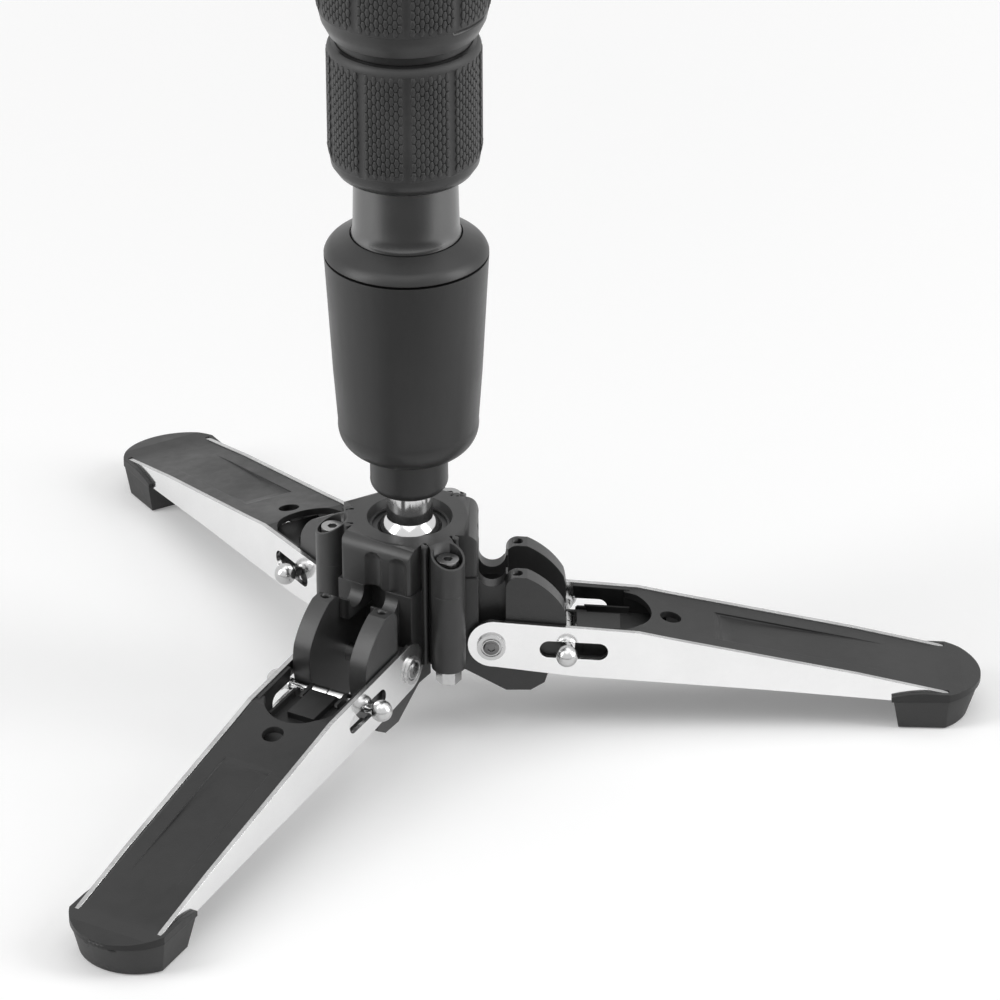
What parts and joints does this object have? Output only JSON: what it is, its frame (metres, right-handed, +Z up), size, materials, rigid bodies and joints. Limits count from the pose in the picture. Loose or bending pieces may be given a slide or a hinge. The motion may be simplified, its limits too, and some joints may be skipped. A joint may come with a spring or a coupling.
{
  "type": "camera monopod",
  "caption": "Telescopic camera monopod with a ball joint, a fluid pan cartridge and small folding locking legs",
  "frame": {"origin": "where the column's axis meets the floor, with the legs open", "axes": "+Z up the column to the camera stud, +X out along the right leg; millimetres in the parts, metres here"},
  "size_m": [0.2828, 0.3208, 0.7755],
  "materials": {
    "hub_plastic": "satin moulded, fibre filled",
    "spine_plastic": "satin moulded",
    "cartridge_plastic": "satin moulded",
    "lock_plastic": "satin moulded",
    "polished_steel": "mirror polished stainless sheet",
    "chrome_steel": "bright chrome plate",
    "spring_steel": "drawn wire",
    "bearing_steel": "ground",
    "foot_rubber": "moulded, matt",
    "lock_rubber": "moulded with small bumps and smooth flutes",
    "grip_foam": "closed foam",
    "pad_rubber": "matt",
    "seal_rubber": "smooth",
    "liner_plastic": "smooth acetal",
    "bush_plastic": "smooth acetal",
    "adaptor_metal": "satin dark grey",
    "tube_metal": "black anodised tube",
    "platform_metal": "satin black coat"
  },
  "bodies": {
    "hub": {"hub_upper_shell": "hub_plastic", "hub_lower_body": "hub_plastic", "hub_bolts": "chrome_steel", "hub_nuts": "chrome_steel", "leg_pivot_pins": "chrome_steel"},
    "leg_right": {"right_side_plate_left": "polished_steel", "right_side_plate_right": "polished_steel", "right_spine": "spine_plastic", "right_foot_pad": "foot_rubber", "right_return_spring": "spring_steel"},
    "pin_right": {"right_lock_pin": "chrome_steel", "right_pin_carriage": "spine_plastic"},
    "leg_rear": {"rear_side_plate_left": "polished_steel", "rear_side_plate_right": "polished_steel", "rear_spine": "spine_plastic", "rear_foot_pad": "foot_rubber", "rear_return_spring": "spring_steel"},
    "pin_rear": {"rear_lock_pin": "chrome_steel", "rear_pin_carriage": "spine_plastic"},
    "leg_front": {"front_side_plate_left": "polished_steel", "front_side_plate_right": "polished_steel", "front_spine": "spine_plastic", "front_foot_pad": "foot_rubber", "front_return_spring": "spring_steel"},
    "pin_front": {"front_lock_pin": "chrome_steel", "front_pin_carriage": "spine_plastic"},
    "ball_ring": {"ball_liner": "liner_plastic"},
    "ball": {"ball_stud": "chrome_steel", "neck_collar": "cartridge_plastic", "cartridge_housing": "cartridge_plastic", "cartridge_cap": "cartridge_plastic", "cap_seal": "seal_rubber", "pan_bearing": "bearing_steel"},
    "rotor": {"pan_adaptor": "adaptor_metal", "lowest_tube": "tube_metal", "lower_guide_bush": "bush_plastic"},
    "section_2": {"lower_tube": "tube_metal", "middle_guide_bush": "bush_plastic", "lower_lock_core": "lock_plastic", "lower_lock_collet": "bush_plastic"},
    "section_3": {"middle_tube": "tube_metal", "upper_guide_bush": "bush_plastic", "middle_lock_core": "lock_plastic", "middle_lock_collet": "bush_plastic"},
    "section_4": {"upper_tube": "tube_metal", "upper_lock_core": "lock_plastic", "upper_lock_collet": "bush_plastic", "hand_grip": "grip_foam", "platform": "platform_metal", "platform_pad": "pad_rubber", "camera_stud": "chrome_steel"},
    "lower_knob": {"lower_lock_knob": "lock_plastic", "lower_lock_grip": "lock_rubber"},
    "middle_knob": {"middle_lock_knob": "lock_plastic", "middle_lock_grip": "lock_rubber"},
    "upper_knob": {"upper_lock_knob": "lock_plastic", "upper_lock_grip": "lock_rubber"}
  },
  "joints": [
    {"name": "fold_right", "type": "hinge", "parent": "hub", "child": "leg_right", "pos_m": [0.0257, 0, 0.0305], "axis": [0, -1, 0], "range_deg": [0, 93]},
    {"name": "fold_rear", "type": "hinge", "parent": "hub", "child": "leg_rear", "pos_m": [-0.01285, 0.02226, 0.0305], "axis": [0.866, 0.5, 0], "range_deg": [0, 93]},
    {"name": "fold_front", "type": "hinge", "parent": "hub", "child": "leg_front", "pos_m": [-0.01285, -0.02226, 0.0305], "axis": [-0.866, 0.5, 0], "range_deg": [0, 93]},
    {"name": "pin_slide_right", "type": "slide", "parent": "leg_right", "child": "pin_right", "axis": [0.998, 0, -0.0637], "range_m": [0, 0.0105], "deforming": ["right_return_spring"]},
    {"name": "pin_slide_rear", "type": "slide", "parent": "leg_rear", "child": "pin_rear", "axis": [-0.499, 0.8643, -0.0637], "range_m": [0, 0.0105], "deforming": ["rear_return_spring"]},
    {"name": "pin_slide_front", "type": "slide", "parent": "leg_front", "child": "pin_front", "axis": [-0.499, -0.8643, -0.0637], "range_m": [0, 0.0105], "deforming": ["front_return_spring"]},
    {"name": "ball_turn", "type": "hinge", "parent": "hub", "child": "ball_ring", "pos_m": [0, 0, 0.0613], "axis": [0, 0, 1], "continuous": true},
    {"name": "ball_tilt", "type": "hinge", "parent": "ball_ring", "child": "ball", "pos_m": [0, 0, 0.0613], "axis": [1, 0, 0], "range_deg": [-20, 0]},
    {"name": "pan", "type": "hinge", "parent": "ball", "child": "rotor", "pos_m": [0, 0, 0.157], "axis": [0, 0, 1], "continuous": true},
    {"name": "lower_extend", "type": "slide", "parent": "rotor", "child": "section_2", "axis": [0, 0, 1], "range_m": [0, 0.4]},
    {"name": "middle_extend", "type": "slide", "parent": "section_2", "child": "section_3", "axis": [0, 0, 1], "range_m": [0, 0.4]},
    {"name": "upper_extend", "type": "slide", "parent": "section_3", "child": "section_4", "axis": [0, 0, 1], "range_m": [0, 0.4]},
    {"name": "lower_lock_turn", "type": "hinge", "parent": "section_2", "child": "lower_knob", "pos_m": [0, 0, 0.21], "axis": [0, 0, 1], "range_deg": [0, 60]},
    {"name": "middle_lock_turn", "type": "hinge", "parent": "section_3", "child": "middle_knob", "pos_m": [0, 0, 0.26], "axis": [0, 0, 1], "range_deg": [0, 60]},
    {"name": "upper_lock_turn", "type": "hinge", "parent": "section_4", "child": "upper_knob", "pos_m": [0, 0, 0.308], "axis": [0, 0, 1], "range_deg": [0, 60]}
  ],
  "couplings": [
    {"joint": "pin_slide_right", "follows": "fold_right", "m_per_rad": 0.006468},
    {"joint": "pin_slide_rear", "follows": "fold_rear", "m_per_rad": 0.006468},
    {"joint": "pin_slide_front", "follows": "fold_front", "m_per_rad": 0.006468}
  ]
}
